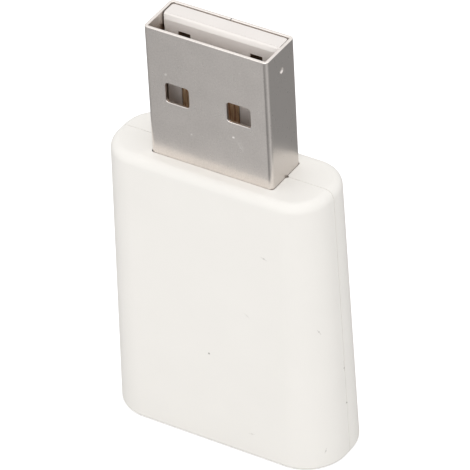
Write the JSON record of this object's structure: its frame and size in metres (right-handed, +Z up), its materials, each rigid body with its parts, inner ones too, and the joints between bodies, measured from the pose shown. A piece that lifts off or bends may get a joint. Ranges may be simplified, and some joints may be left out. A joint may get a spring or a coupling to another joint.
{
  "type": "signal repeater",
  "caption": "Stick-shaped signal repeater in a tapered clamshell housing, with a folded steel USB-A plug, a light guide and a reset switch behind a pinhole.",
  "frame": {"origin": "middle of the housing's flat lower end, where the part stands", "axes": "+Z up through the plug, +X along the wide side of the plug, +Y to the side of the plug's tongue"},
  "size_m": [0.0222, 0.0088, 0.0405],
  "materials": {
    "housing": "warm white moulded plastic, satin",
    "plug_steel": "tin-plated steel sheet, satin",
    "insulator": "white glass-filled plastic, satin",
    "contacts": "gold-flashed spring strip",
    "board": "green laminate with solder mask",
    "chip": "black moulded package",
    "can_steel": "tin-plated drawn can",
    "crystal_lid": "plated lid on a ceramic base",
    "aerial": "pale glazed ceramic",
    "ceramic": "tan ceramic with tinned ends",
    "resistor": "black glaze with tinned ends",
    "lamp": "clear lens on a white base",
    "light_guide": "clear moulded plastic",
    "switch": "black moulded plastic",
    "switch_cover": "folded stainless sheet"
  },
  "bodies": {
    "stick": {"usb_shell": "plug_steel", "usb_insulator": "insulator", "supply_contact": "contacts", "data_minus_contact": "contacts", "data_plus_contact": "contacts", "ground_contact": "contacts", "main_board": "board", "module_board": "board", "radio_chip": "chip", "memory_chip": "chip", "crystal_can": "crystal_lid", "matching_chips": "ceramic", "chip_antenna": "aerial", "shield_can": "can_steel", "voltage_regulator": "chip", "input_capacitor": "ceramic", "output_capacitor": "ceramic", "fuse": "ceramic", "ferrite_bead": "resistor", "surge_diode": "chip", "status_led": "lamp", "led_resistor": "resistor", "chip_resistors": "resistor", "chip_capacitors": "ceramic", "switch_base": "switch", "switch_frame": "switch_cover", "light_guide": "light_guide", "rear_shell": "housing", "front_shell": "housing"},
    "plunger": {"reset_plunger": "switch"}
  },
  "joints": [
    {"name": "reset_press", "type": "slide", "parent": "stick", "child": "plunger", "axis": [0, -1, 0], "range_m": [0, 0.00025], "stiffness_N_per_m": 6400}
  ]
}
